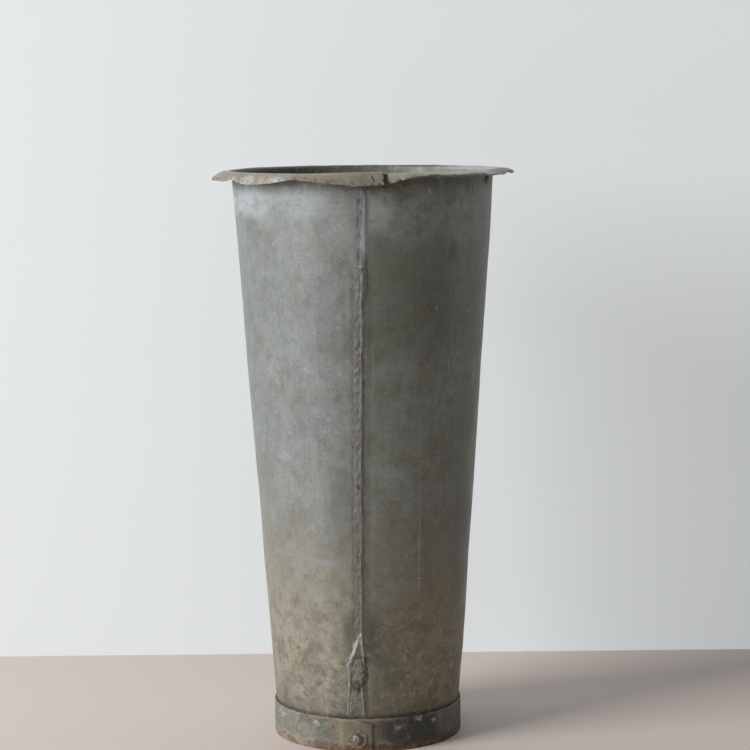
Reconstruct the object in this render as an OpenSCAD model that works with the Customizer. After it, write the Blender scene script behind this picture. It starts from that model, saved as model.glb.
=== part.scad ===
// Tall florist's bucket of galvanised sheet, battered by long use.
// One sheet is rolled to a taper, lapped and soldered down the front, and its top edge is
// turned out as a lip. A riveted hoop round the foot carries the bucket, and a disc with a
// turned-down edge is soldered in as the bottom.
// The origin is the centre of the foot on the floor. +Z is up and the seam is on the -Y side.
// Angles round the bucket start at the seam and grow towards +X.

/* [Overall] */
// Height of the turned edge above the floor
rim_height = 500; // [300:5:650]
// Outer radius of the wall at the rim
rim_radius = 114.4; // [95:0.2:160]
// Outer radius that the wall's taper would have at the floor
floor_radius = 79.6; // [60:0.2:92]

/* [Wall sheet] */
// Thickness of the wall sheet
sheet_t = 0.9; // [0.5:0.05:1.5]
// Height of the wall's lower edge above the floor
wall_lift = 1.5; // [0.5:0.5:4]
// Angle over which the sheet's ends overlap
lap_angle = 10.5; // [7.5:1.5:15]
// Gap between the two layers of the lap
lap_gap = 0.1; // [0.05:0.05:0.3]
// Angle over which the inner end leaves the round to pass under the outer end
lap_joggle = 24; // [15:1.5:30]
// Angle by which the seam leans to the left on its way down
seam_lean = 4; // [0:0.5:8]

/* [Lip] */
// Length of the turned-out lip, down its slope
lip_width = 17; // [11:0.5:24]
// Radius inside the bend between wall and lip
lip_bend = 2; // [1:0.1:4]
// Length of lip left on the rusted layer under the lap
torn_width = 9; // [7.5:0.5:10]
// Angle of the slit beside the lap, where the lip has rusted away
slit_angle = 1.6; // [1.6:0.1:2.9]
// How far the lip has been beaten down: 1 is as found, 0 is level
batter = 1; // [0.1:0.05:1.2]

/* [Foot hoop] */
// Height of the hoop round the foot
hoop_h = 29.4; // [22:0.2:45]
// Thickness of the hoop strip
hoop_t = 1.2; // [0.8:0.1:2]
// Play between the wall and the hoop's top edge
hoop_play = 0.5; // [0.2:0.1:1.2]
// Angle at which the hidden end of the hoop strip starts
hoop_start = -13; // [-20:0.5:-10]
// Angle at which the outer end of the hoop strip stops
hoop_end = 2.5; // [0:0.5:8]
// Angle over which the strip steps up onto its own end
hoop_step = 5; // [3:0.5:12]

/* [Base] */
// Height of the base disc's top face above the floor
base_z = 20; // [16:0.5:26]
// Thickness of the base disc
base_t = 0.9; // [0.6:0.1:1.5]
// Depth of the base disc's turned-down edge
base_skirt = 12; // [6:0.5:14]
// Play between the base disc and the wall
base_play = 0.15; // [0.1:0.05:0.5]

/* [Rivets] */
// Diameter of the hoop rivet's head
hoop_rivet_d = 10; // [7:0.5:13]
// Height of the hoop rivet's head
hoop_rivet_h = 3.2; // [1.5:0.1:5]
// Diameter of the hoop rivet's shank
hoop_shank_d = 4.8; // [3:0.2:6]
// Height of the hoop rivet's middle above the floor
hoop_rivet_z = 11.5; // [9:0.5:13]
// Angle of the hoop rivet to the left of its lap's middle
hoop_rivet_shift = 0.6; // [-1:0.1:1]
// Diameter of the washer under the hoop rivet's head
washer_d = 16.5; // [14:0.5:18]
// Thickness of the washer
washer_t = 0.8; // [0.5:0.1:1.2]
// Diameter of the rim rivet's head
rim_rivet_d = 8.5; // [6:0.5:10]
// Height of the rim rivet's head
rim_rivet_h = 2.4; // [1.2:0.1:4]
// Diameter of the rim rivet's shank
rim_shank_d = 4; // [2.6:0.2:4.4]
// Angle of the rim rivet round the bucket
rim_rivet_angle = 70; // [50:1:85]
// Drop from the turned edge to the rim rivet's middle
rim_rivet_drop = 9.5; // [8:0.5:14]
// How far a rivet's closing head spreads past its shank
tail_spread = 0.8; // [0.4:0.1:1.2]
// Thickness of a rivet's closing head
tail_h = 0.7; // [0.4:0.1:0.9]
// Play between a rivet's shank and its hole
shank_play = 0.05; // [0.03:0.01:0.15]

/* [Solder] */
// Drop from the turned edge to the top of the smooth fillet
fillet_drop = 14; // [10:1:24]
// Drop from the turned edge to the step between fillet and rough run
run_drop = 79; // [50:1:150]
// Width of the smooth fillet
fillet_w = 5; // [3:0.5:8]
// Width of the rough run
run_w = 9.5; // [6:0.5:14]
// Thickness of the smooth fillet at the lap's edge
fillet_t = 1.3; // [0.9:0.1:1.8]
// Thickness of the rough run at the lap's edge
run_t = 2; // [1.2:0.1:2.6]
// Thickness of the pool at the lap's edge
pool_t = 2.8; // [1.8:0.1:4]
// How far the solder laps onto the outer layer of the seam
solder_over = 3; // [1:0.5:6]
// Height of the pool's middle above the floor
pool_z = 79; // [70:1:140]
// Height of the pool
pool_h = 44; // [24:1:60]
// Width of the pool
pool_w = 15; // [10:1:20]
// Height of the lumps along the rough run
lump = 0.4; // [0:0.05:0.6]
// Leg of the fillet between base disc and wall
base_fillet = 5; // [3:0.5:8]
// Drop from the hoop's top edge to the solder behind it
hoop_solder_drop = 3; // [1:0.5:5]
// Height of the solder behind the hoop
hoop_solder_h = 6; // [3:0.5:8]
// Play that keeps a solder face off the metal that it wets
wet_play = 0.05; // [0.04:0.01:0.1]

/* [Hidden] */
$fn = 96;

zinc = "#85867d";
worn_zinc = "#74746a";
hoop_brown = "#7c7261";
rivet_brown = "#6e6255";
solder_grey = "#9b9a92";

// Slope of the lip below level, by angle round the bucket
droop_marks = [
    [0, 47], [lap_angle, 47], [lap_angle + 1.5, 24], [lap_angle + 7.5, 12], [28, 6], [45, 9],
    [65, 16], [90, 8], [130, 5], [240, 5], [260, 24], [275, 34], [300, 38], [320, 35],
    [335, 21], [345, 28], [355, 39], [363, 44], [375, 41]
];
// Length of the lip as a share of lip_width, by angle round the bucket
length_marks = [
    [0, 1], [75, 1], [88, 1.1], [100, 1], [262, 1], [272, 1.08], [295, 1.05], [300, 0.85], [306, 1]
];

taper = (rim_radius - floor_radius) / rim_height;
lean = atan(taper);
lap_lift = sheet_t + lap_gap;
turn = 360 + lap_angle;
bend_mid = lip_bend + sheet_t / 2;
bend_z = rim_height - sheet_t / 2 - bend_mid;
fine_step = 1.5;
coarse_step = 4;
wall_stations = concat(
    [for (a = [0:fine_step:36]) a],
    [for (a = [40:coarse_step:328]) a],
    [for (a = [330:fine_step:turn]) a]
);
hoop_inner = wall_r(hoop_h) + hoop_play;
hoop_lift = hoop_t + lap_gap;
hoop_face = hoop_inner + hoop_lift + hoop_t;
hoop_rivet_angle = (hoop_start + hoop_end) / 2 - hoop_rivet_shift;
run_foot = hoop_h + 1.5;
run_head = rim_height - run_drop;
pool_foot = pool_z - pool_h / 2;
pool_head = pool_z + pool_h / 2;

// Outer radius of the round wall at height z
function wall_r(z) = floor_radius + taper * z;

// Inner radius of the round wall at height z
function bore_r(z) = wall_r(z) - sheet_t;

// Angle of the seam's visible edge at height z
function seam_at(z) = -seam_lean * (1 - min(z, rim_height) / rim_height);

// A smooth step from 0 to 1 as x goes from low to high
function ease(x, low, high) = let (u = max(0, min(1, (x - low) / (high - low)))) u * u * (3 - 2 * u);

// How far the sheet lies inside the round at station a, on its way under the outer end
function joggle(a) = lap_lift * ease(a, 360 - lap_joggle, 360 - fine_step);

function droop(a) = batter * lookup(a, droop_marks);

function lip_length(a) =
    a < lap_angle ? torn_width * (0.9 + 0.1 * sin(95 * a)) :
    a < lap_angle + slit_angle ? lip_bend + 2 :
    lip_width * lookup(a, length_marks);

function ring_point(r, angle, z) = [r * sin(angle), -r * cos(angle), z];

function reversed(list) = [for (i = [len(list) - 1:-1:0]) list[i]];

// One face of the sheet at station a, as [radius, height] points from the foot to the lip's
// edge. off is how far the face lies outside the middle of the round sheet.
function sheet_face(a, off) =
    let (
        slope = droop(a),
        arc = bend_mid - off,
        centre = wall_r(bend_z) - sheet_t / 2 + bend_mid,
        reach = lip_length(a) - bend_mid
    )
    concat(
        [[wall_r(wall_lift) - sheet_t / 2 + off, wall_lift]],
        [for (k = [0:0.25:1]) let (t = k * (90 + slope)) [centre - arc * cos(t), bend_z + arc * sin(t)]],
        [for (s = [reach / 2, reach])
            [centre + arc * sin(slope) + s * cos(slope), bend_z + arc * cos(slope) - s * sin(slope)]]
    );

// The sheet's closed cross-section at station a
function sheet_outline(a) =
    let (mid = -joggle(a))
    [for (p = concat(sheet_face(a, mid + sheet_t / 2), reversed(sheet_face(a, mid - sheet_t / 2))))
        ring_point(p[0], a + seam_at(p[1]), p[1])];

// A solid skin over a row of outlines that have the same number of points. An outline runs
// along one face and back along the other, so its ends are closed by joining pairs of points.
module skin(outlines) {
    rows = len(outlines);
    n = len(outlines[0]);
    sides = [for (i = [0:rows - 2], j = [0:n - 1])
        let (
            here = i * n,
            next = here + n,
            k = (j + 1) % n
        )
        each [[here + j, next + k, next + j], [here + j, here + k, next + k]]];
    last = (rows - 1) * n;
    caps = [for (j = [0:n / 2 - 2])
        let (back = n - 1 - j)
        each [
            [j, back, j + 1], [j + 1, back, back - 1],
            [last + j, last + j + 1, last + back], [last + j + 1, last + back - 1, last + back]
        ]];
    polyhedron([for (o = outlines) each o], concat(sides, caps), convexity = 10);
}

// Carries children from the origin to a point on the bucket, +Z turned to point out of it
// and dipping by dip
module facing_out(r, angle, z, dip = 0) {
    translate(ring_point(r, angle, z))
        rotate([0, 0, angle - 90])
            rotate([0, 90 + dip, 0])
                children();
}

// A rivet whose head stands on z = 0, with its shank and closing head below
module rivet(head_d, head_h, shank_d, grip) {
    dome_r = (head_d * head_d / 4 + head_h * head_h) / (2 * head_h);
    rotate_extrude()
        intersection() {
            translate([0, head_h - dome_r])
                circle(dome_r);
            square([head_d, head_h]);
        }
    translate([0, 0, -grip])
        cylinder(d = shank_d, h = grip + head_h / 2);
    translate([0, 0, -grip - tail_h])
        cylinder(d = shank_d + 2 * tail_spread, h = tail_h);
}

module wall_sheet() {
    rivet_z = rim_height - rim_rivet_drop;
    color(zinc)
        difference() {
            skin([for (a = wall_stations) sheet_outline(a)]);
            facing_out(wall_r(rivet_z), rim_rivet_angle, rivet_z, lean)
                cylinder(d = rim_shank_d + 2 * shank_play, h = 8, center = true);
        }
}

// Radius at which the base disc clears the sheet's inner end
function seat_r(z) = bore_r(z) - lap_lift - base_play;

module base_disc() {
    low = base_z - base_skirt;
    color(worn_zinc)
        rotate_extrude()
            polygon([
                [0, base_z - base_t],
                [seat_r(base_z) - base_t, base_z - base_t],
                [seat_r(low) - base_t, low],
                [seat_r(low), low],
                [seat_r(base_z), base_z],
                [0, base_z]
            ]);
}

// Part of the fillet round the base disc, inset from the round wall, from one angle to another
module fillet_arc(inset, from, to) {
    low = base_z + wet_play;
    high = base_z + base_fillet;
    rotate([0, 0, from - 90])
        rotate_extrude(angle = to - from)
            polygon([
                [bore_r(low) - lap_lift - base_fillet, low],
                [bore_r(low) - inset, low],
                [bore_r(high) - inset, high]
            ]);
}

module base_solder() {
    lap_from = seam_at(base_z) - lap_joggle - coarse_step;
    lap_to = seam_at(base_z) + lap_angle + 1;
    color(solder_grey) {
        fillet_arc(base_play, lap_to, lap_from + 360);
        fillet_arc(lap_lift + base_play, lap_from - 1, lap_to + 1);
    }
}

// One side of the hoop strip in plan, its inner face at 0 and its outer face at hoop_t
function hoop_side(off) =
    let (length = 360 + hoop_end - hoop_start)
    [for (a = concat([for (k = [0:3:351]) k], [for (k = [354:1:length]) k]))
        let (p = ring_point(hoop_inner + off + hoop_lift * ease(a, 360 - hoop_step, 360), a + hoop_start, 0))
        [p[0], p[1]]];

module foot_hoop() {
    color(hoop_brown)
        difference() {
            linear_extrude(hoop_h)
                polygon(concat(hoop_side(hoop_t), reversed(hoop_side(0))));
            facing_out(hoop_face, hoop_rivet_angle, hoop_rivet_z)
                cylinder(d = hoop_shank_d + 2 * shank_play, h = 12, center = true);
        }
}

module hoop_solder() {
    top = hoop_h - hoop_solder_drop;
    low = top - hoop_solder_h;
    outer = hoop_inner - 2 * wet_play;
    color(solder_grey)
        rotate_extrude()
            polygon([
                [wall_r(low) + wet_play, low],
                [outer, low],
                [outer, top],
                [wall_r(top) + wet_play, top]
            ]);
}

module hoop_rivet() {
    grip = hoop_face + washer_t - hoop_inner + 2 * wet_play;
    color(rivet_brown)
        facing_out(hoop_face + washer_t, hoop_rivet_angle, hoop_rivet_z)
            rivet(hoop_rivet_d, hoop_rivet_h, hoop_shank_d, grip);
}

module hoop_rivet_washer() {
    color(rivet_brown)
        facing_out(hoop_face, hoop_rivet_angle, hoop_rivet_z)
            difference() {
                cylinder(d = washer_d, h = washer_t);
                translate([0, 0, -1])
                    cylinder(d = hoop_shank_d + 2 * shank_play, h = washer_t + 2);
            }
}

module rim_rivet() {
    z = rim_height - rim_rivet_drop;
    color(rivet_brown)
        facing_out(wall_r(z), rim_rivet_angle, z, lean)
            rivet(rim_rivet_d, rim_rivet_h, rim_shank_d, sheet_t + wet_play);
}

// The outline of solder at height z, from its thin left edge, over the lap's edge, to where
// it thins out on the outer layer. Distances across it are in millimetres.
function solder_outline(z, width, over, thick) =
    let (
        degree = 180 / (PI * wall_r(z)),
        across = [-width, -0.75 * width, -0.5 * width, -0.25 * width, -0.2, 0, over / 2, over],
        bed = [for (x = across) wet_play - (x < 0 ? joggle(360 + x * degree) : 0)],
        crown = [0.3, 0.6, 0.75, 0.85, 1, 1, 0.6, 0.2],
        proud = [for (k = [0:7]) max(bed[k] + 0.2, thick * crown[k] - lap_lift * (k < 5 ? 1 - k / 8 : 0.5))],
        points = concat([for (k = [0:7]) [across[k], bed[k]]], [for (k = [7:-1:0]) [across[k], proud[k]]])
    )
    [for (p = points) ring_point(wall_r(z) + p[1], seam_at(z) + p[0] * degree, z)];

// Solder from one height to another. width, over and thick are functions of height.
module solder(low, high, rows, width, over, thick) {
    skin([for (i = [0:rows]) let (z = low + (high - low) * i / rows)
        solder_outline(z, width(z), over(z), thick(z))]);
}

// A wandering value between -1 and 1
function wander(z, pace) = 0.6 * sin(z * pace) + 0.4 * sin(z * pace * 2.3 + 70);

module seam_fillet() {
    color(solder_grey)
        solder(
            run_head + wet_play, rim_height - fillet_drop, 8,
            function(z) fillet_w,
            function(z) solder_over * 0.6,
            function(z) fillet_t
        );
}

run_width = function(z) run_w + lump * 3 * wander(z, 9);
run_over = function(z) solder_over + lump * 2 * wander(z, 13);
run_thick = function(z) run_t + lump * wander(z, 17);

module seam_solder_run() {
    color(solder_grey) {
        solder(run_foot, pool_foot - wet_play, 6, run_width, run_over, run_thick);
        solder(pool_head + wet_play, run_head, 64, run_width, run_over, run_thick);
    }
}

module seam_solder_pool() {
    swell = function(z) sin(180 * (z - pool_foot) / pool_h);
    color(solder_grey)
        solder(
            pool_foot, pool_head, 16,
            function(z) run_width(z) + (pool_w - run_w) * swell(z) * 0.6,
            function(z) run_over(z) + (pool_w - run_w) * swell(z) * 0.4,
            function(z) run_thick(z) + (pool_t - run_t) * swell(z)
        );
}

wall_sheet();
base_disc();
base_solder();
foot_hoop();
hoop_solder();
hoop_rivet();
hoop_rivet_washer();
rim_rivet();
seam_fillet();
seam_solder_run();
seam_solder_pool();
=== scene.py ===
"""A tall florist's bucket of battered galvanised sheet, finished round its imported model.

Lengths in the shapes below are millimetres and angles are degrees, as in the model's own
design; meshes are scaled to metres when they are done. Angles round the bucket start at the
front seam and grow towards +X, and a station is such an angle measured along the rolled sheet.
"""

import math

import bpy
import numpy as np
from mathutils import Matrix, Vector


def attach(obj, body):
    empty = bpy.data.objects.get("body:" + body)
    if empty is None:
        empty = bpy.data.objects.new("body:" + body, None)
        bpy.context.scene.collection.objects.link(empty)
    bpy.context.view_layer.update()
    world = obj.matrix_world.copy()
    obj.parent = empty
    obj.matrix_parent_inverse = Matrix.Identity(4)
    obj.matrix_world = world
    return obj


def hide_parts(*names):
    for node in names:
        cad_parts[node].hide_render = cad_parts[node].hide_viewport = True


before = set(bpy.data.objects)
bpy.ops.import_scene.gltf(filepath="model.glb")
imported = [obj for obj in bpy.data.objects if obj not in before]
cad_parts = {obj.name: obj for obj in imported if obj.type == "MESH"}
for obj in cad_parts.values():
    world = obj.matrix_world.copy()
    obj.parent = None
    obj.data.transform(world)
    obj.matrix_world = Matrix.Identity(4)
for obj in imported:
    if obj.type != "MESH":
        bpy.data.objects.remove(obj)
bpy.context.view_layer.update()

MM = 0.001

# ---------------------------------------------------------------- sizes shared with the design
RIM_HEIGHT = 500.0
RIM_RADIUS = 114.4
FLOOR_RADIUS = 79.6
SHEET_T = 0.9
WALL_LIFT = 1.5
LAP_ANGLE = 10.5
LAP_LIFT = 1.0
LAP_JOGGLE = 24.0
SEAM_LEAN = 4.0
LIP_WIDTH = 17.0
LIP_BEND = 2.0
TORN_WIDTH = 9.0
SLIT_ANGLE = 1.6
HOOP_H = 29.4
HOOP_T = 1.2
HOOP_PLAY = 0.5
HOOP_START = -13.0
HOOP_END = 2.5
HOOP_STEP = 5.0
BASE_Z = 20.0
BASE_T = 0.9
BASE_SKIRT = 12.0
BASE_PLAY = 0.15
BASE_FILLET = 5.0
WET_PLAY = 0.05

# Slope of the lip below level: station, degrees
DROOP_MARKS = [
    (0, 47), (LAP_ANGLE - 2, 47), (LAP_ANGLE, 27), (LAP_ANGLE + 7.5, 12), (28, 0), (45, 5),
    (65, 9), (90, 4), (130, 5), (240, 5), (260, 15), (275, 20), (303, 20), (318, 26),
    (326, 17), (334, 7), (341, 16), (356, 36), (363, 43), (375, 41),
]
# Length of the lip as a share of its width: station, share
LENGTH_MARKS = [
    (0, 1), (75, 1), (88, 1.1), (100, 1), (262, 1), (272, 1.08), (295, 1.05), (300, 0.85),
    (306, 1),
]

TAPER = (RIM_RADIUS - FLOOR_RADIUS) / RIM_HEIGHT
TURN = 360 + LAP_ANGLE
BEND_MID = LIP_BEND + SHEET_T / 2
BEND_Z = RIM_HEIGHT - SHEET_T / 2 - BEND_MID

# Millimetres along the surface for each degree round the bucket
WALL_DEGREE = 1.75
LIP_DEGREE = 1.9
HOOP_DEGREE = 1.45


def wall_r(z):
    """Outer radius of the round wall at height z."""
    return FLOOR_RADIUS + TAPER * z


def seam_at(z):
    """Angle of the seam's visible edge at height z."""
    return -SEAM_LEAN * (1 - np.minimum(z, RIM_HEIGHT) / RIM_HEIGHT)


def ease(x, low, high):
    """A smooth step from 0 to 1 as x goes from low to high."""
    u = np.clip((x - low) / (high - low), 0, 1)
    return u * u * (3 - 2 * u)


def lookup(x, marks):
    """The value at x between marks of (x, value)."""
    return np.interp(x, [m[0] for m in marks], [m[1] for m in marks])


def mound(x, middle, half):
    """A round hump of height 1 with its middle and half width given."""
    return np.exp(-((x - middle) / half) ** 2)


class Wander:
    """A smooth random surface between about -1 and 1, made of a few waves."""

    def __init__(self, seed, shortest, longest, count=12):
        rng = np.random.default_rng(seed)
        self.length = np.exp(rng.uniform(np.log(shortest), np.log(longest), count))
        self.way = rng.uniform(0, 2 * np.pi, count)
        self.start = rng.uniform(0, 2 * np.pi, count)
        self.share = self.length / np.sqrt((self.length ** 2).sum())

    def at(self, x, z=0.0):
        total = 0.0
        for length, way, start, share in zip(self.length, self.way, self.start, self.share):
            along = x * np.cos(way) + z * np.sin(way)
            total = total + share * np.sin(2 * np.pi * along / length + start)
        return total

    def round_wall(self, angle, z, radius=100.0):
        """The same surface wrapped round the bucket without a join."""
        a = np.radians(angle)
        total = 0.0
        for length, way, start, share in zip(self.length, self.way, self.start, self.share):
            turns = np.round(2 * np.pi * radius * np.cos(way) / length)
            total = total + share * np.sin(turns * a + 2 * np.pi * z * np.sin(way) / length + start)
        return total


# ---------------------------------------------------------------- shape of the battered wall
wall_dents = Wander(3, 70, 260, 14)
small_dents = Wander(8, 22, 60, 16)

# The wall is creased outwards at the seam: height of the crease, degrees that it takes each side
RIDGE = 2.7
RIDGE_RIGHT = 21.0
RIDGE_LEFT = 52.0


def joggle(a):
    """How far the sheet lies inside the round at station a, on its way under the outer end."""
    return LAP_LIFT * ease(a, 360 - LAP_JOGGLE, 358.5)


def round_angle(a):
    """The same angle between -180 and 180."""
    return (a + 180) % 360 - 180


def battering(a, z):
    """How far the wall stands off the true cone: the crease at the seam, and dents."""
    side = round_angle(a)
    right = np.clip(1 - side / RIDGE_RIGHT, 0, 1) * (side >= 0)
    left = np.clip(1 + side / RIDGE_LEFT, 0, 1) * (side < 0)
    share = ease(z, 30, 150) * (0.72 + 0.28 * z / RIM_HEIGHT) * (1 - 0.5 * ease(z, 470, 500))
    crease = RIDGE * share * (right + left) ** 2
    free = ease(z, 32, 90) * (1 - 0.6 * ease(z, 450, 495))
    dents = 0.32 * wall_dents.round_wall(side, z) + 0.08 * small_dents.round_wall(side, z)
    belly = mound(side, 88, 36) * (0.4 + 0.5 * mound(z, 345, 60) + 0.9 * mound(z, 135, 60))
    return crease + free * (dents + belly)


# ---------------------------------------------------------------- building helpers
def deselect():
    if bpy.context.object and bpy.context.object.mode != "OBJECT":
        bpy.ops.object.mode_set(mode="OBJECT")
    bpy.ops.object.select_all(action="DESELECT")


def named(name):
    piece = bpy.context.object
    piece.name = name
    piece.data.name = name
    return piece


def ring_point(r, angle, z):
    """A point at radius r, angle and height z."""
    a = np.radians(angle)
    return np.stack([r * np.sin(a), -r * np.cos(a), z + 0 * a], axis=-1)


def place_points(piece, points):
    piece.data.vertices.foreach_set("co", (np.asarray(points, dtype=float) * MM).ravel())
    piece.data.update()


def points_of(piece):
    co = np.empty(len(piece.data.vertices) * 3)
    piece.data.vertices.foreach_get("co", co)
    return co.reshape(-1, 3)


def smooth(piece, angle=42):
    deselect()
    piece.select_set(True)
    bpy.context.view_layer.objects.active = piece
    bpy.ops.object.shade_smooth_by_angle(angle=math.radians(angle))


def rolled(name, columns, rows, shape):
    """A flat plate of columns by rows cells, thickened and then rolled to shape.

    shape(column, row, outer) gives the points of one face, where column and row are arrays
    of whole numbers and outer is True for the face that looks out of the bucket."""
    deselect()
    bpy.ops.mesh.primitive_grid_add(x_subdivisions=columns, y_subdivisions=rows, size=1)
    piece = named(name)
    flat = piece.modifiers.new("thickness", "SOLIDIFY")
    flat.thickness = 0.01
    bpy.ops.object.modifier_apply(modifier=flat.name)
    co = points_of(piece)
    column = np.rint((co[:, 0] + 0.5) * columns).astype(int)
    row = np.rint((co[:, 1] + 0.5) * rows).astype(int)
    outer = co[:, 2] > -0.005
    points = np.empty_like(co)
    for face in (True, False):
        on = outer == face
        points[on] = shape(column[on], row[on], face)
    place_points(piece, points)
    loops = np.empty(len(piece.data.loops), dtype=int)
    piece.data.loops.foreach_get("vertex_index", loops)
    starts = np.empty(len(piece.data.polygons), dtype=int)
    piece.data.polygons.foreach_get("loop_start", starts)
    quads = loops[starts[:, None] + np.arange(4)]
    piece.data.polygons.foreach_set("material_index", (~outer)[quads].all(axis=1).astype(int))
    smooth(piece)
    return piece


def turned(name, outline, steps=144, rough=None):
    """A closed outline of (radius, height) points spun round the upright axis."""
    deselect()
    bpy.ops.mesh.primitive_circle_add(vertices=len(outline), radius=1, fill_type="NOTHING")
    piece = named(name)
    place_points(piece, [(r, 0, z) for r, z in outline])
    bpy.ops.object.mode_set(mode="EDIT")
    bpy.ops.mesh.select_all(action="SELECT")
    bpy.ops.mesh.spin(steps=steps, angle=2 * math.pi, center=(0, 0, 0), axis=(0, 0, 1))
    bpy.ops.mesh.select_all(action="SELECT")
    bpy.ops.mesh.remove_doubles(threshold=0.00001)
    bpy.ops.mesh.dissolve_degenerate(threshold=0.00001)
    bpy.ops.mesh.delete_loose()
    bpy.ops.mesh.select_all(action="SELECT")
    bpy.ops.mesh.normals_make_consistent(inside=False)
    bpy.ops.object.mode_set(mode="OBJECT")
    if rough:
        place_points(piece, rough(points_of(piece) / MM))
    smooth(piece)
    return piece


def stood_out(piece, r, angle, z, dip=0.0):
    """Moves a piece made round the origin, facing +Z, to a point on the bucket, facing out."""
    a = math.radians(angle)
    tip = Matrix.Rotation(math.pi / 2 + math.radians(dip), 4, "Y")
    turn = Matrix.Rotation(a - math.pi / 2, 4, "Z") @ tip
    place = Matrix.Translation(Vector((r * math.sin(a), -r * math.cos(a), z)) * MM)
    piece.data.transform(place @ turn)
    piece.data.update()


# ---------------------------------------------------------------- wall sheet with its lip
def stretches(*marks):
    """Stations from stretches of (from, to, step), each ending where the next begins."""
    out = []
    for low, high, step in marks:
        out += list(np.arange(low, high - step / 2, step))
    return np.array(out + [marks[-1][1]])


STATIONS = stretches(
    (0, 8, 0.5), (8, 14, 0.25), (14, 36, 0.6), (36, 64, 1.0), (64, 104, 0.6), (104, 256, 1.6),
    (256, 312, 0.5), (312, 336, 1.0), (336, 356, 0.6), (356, TURN, 0.35)
)
WALL_ROWS = 58
BEND_ROWS = 6
LIP_ROWS = 12

# The lip's hidden end is torn back by this angle
TORN_END = 2.2

edge_chips = Wander(21, 1.2, 9, 18)
edge_waves = Wander(22, 14, 46, 8)
lip_folds = Wander(23, 9, 40, 12)
lip_slope = Wander(24, 24, 90, 6)


def droop(a):
    """Slope of the lip below level, hammered unevenly."""
    front = ease(np.abs(round_angle(a)), 110, 80)
    return lookup(a, DROOP_MARKS) + 2.2 * lip_slope.at(a * LIP_DEGREE) * (0.4 + 0.6 * front)


def lip_length(a):
    """Length of the lip down its slope, with its chipped and wavy edge."""
    torn = TORN_WIDTH * (0.9 + 0.1 * np.sin(np.radians(95 * a)))
    whole = LIP_WIDTH * lookup(a, LENGTH_MARKS)
    calm = 1 - 0.75 * ease(a, 12, 16) * ease(a, 74, 66)
    along = a * LIP_DEGREE
    whole = whole + (0.7 * edge_waves.at(along) + 0.28 * edge_chips.at(along)) * calm
    for middle, half, deep in LIP_NICKS:
        whole = whole - deep * mound(a, middle, half)
    whole = np.where(a < LAP_ANGLE, LIP_BEND + 2.2, whole)
    return np.where(a < LAP_ANGLE - SLIT_ANGLE, torn + 0.5 * edge_chips.at(a * 3), whole)


# Nicks in the lip's edge: station, half width, depth
LIP_NICKS = [
    (14.5, 0.5, 2.0), (17.2, 0.35, 1.0), (24, 0.6, 0.7), (81, 0.8, 2.2), (84.5, 0.5, 1.2),
    (274, 0.7, 3.2), (278.5, 0.5, 2.4), (283, 0.7, 1.4), (291, 0.6, 1.8), (299.5, 0.5, 2.2),
    (318, 0.7, 0.9), (333, 0.6, 1.1), (346, 0.5, 0.8), (366.5, 0.35, 1.6),
]


def lip_lift(a, out):
    """How far the lip stands above its straight slope, out of 0 to 1 from bend to edge."""
    folds = lip_folds.at(a * LIP_DEGREE, out * 14)
    bulge = 0.6 + 0.4 * lip_slope.at(a * 1.7 + 40)
    lift = 0.38 * folds * out + 0.9 * np.sin(np.pi * out) * bulge
    lift = lift - 1.3 * out ** 3
    lift = lift - 0.8 * out ** 2 * mound(a, 84, 6)
    lift = lift + 1.5 * out ** 2 * mound(a, 76, 3.5)
    lift = lift - 0.6 * out ** 2 * mound(a, 276, 6)
    lift = lift + 1.2 * out * mound(a, 286, 3)
    return lift


def wall_shape(column, row, outer):
    a = STATIONS[column]
    off = -joggle(a) + (SHEET_T / 2 if outer else -SHEET_T / 2)
    up = np.clip(row / WALL_ROWS, 0, 1)
    z_wall = WALL_LIFT + (BEND_Z - WALL_LIFT) * up ** 1.02
    slope = droop(a)
    bend_turn = np.clip((row - WALL_ROWS) / BEND_ROWS, 0, 1)
    out = np.clip((row - WALL_ROWS - BEND_ROWS) / LIP_ROWS, 0, 1)
    t = np.radians(bend_turn * (90 + slope))
    arc = BEND_MID - off
    centre = wall_r(BEND_Z) - SHEET_T / 2 + BEND_MID + battering(a, BEND_Z + 0 * a)
    s = np.radians(slope)
    reach = (lip_length(a) - BEND_MID) * out
    lift = lip_lift(a, out) * ease(out, 0.0, 0.35)
    on_lap = (a > 358) | (a < LAP_ANGLE - SLIT_ANGLE)
    lift = np.where(on_lap, np.maximum(lift, -0.3) * (a > 180), lift)
    r_wall = wall_r(z_wall) - SHEET_T / 2 + off + battering(a, z_wall)
    r_lip = centre - arc * np.cos(t) + reach * np.cos(s) + lift * np.sin(s)
    z_lip = BEND_Z + arc * np.sin(t) - reach * np.sin(s) + lift * np.cos(s)
    on_wall = row <= WALL_ROWS
    r = np.where(on_wall, r_wall, r_lip)
    z = np.where(on_wall, z_wall, z_lip)
    end = ease(a, TURN - 5, TURN) * ease(row, WALL_ROWS - 2, WALL_ROWS + 4)
    torn_end = end * (TORN_END + 0.35 * edge_chips.at(z * 1.2 + 5))
    return ring_point(r, a + seam_at(z) - torn_end, z)


def make_wall_sheet():
    rows = WALL_ROWS + BEND_ROWS + LIP_ROWS
    return rolled("wall_sheet_rolled", len(STATIONS) - 1, rows, wall_shape)


# ---------------------------------------------------------------- solder down the seam
run_wobble = Wander(31, 5, 26, 14)
run_lumps = Wander(32, 2.2, 9, 26)
run_edge = Wander(33, 3, 17, 16)

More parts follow.
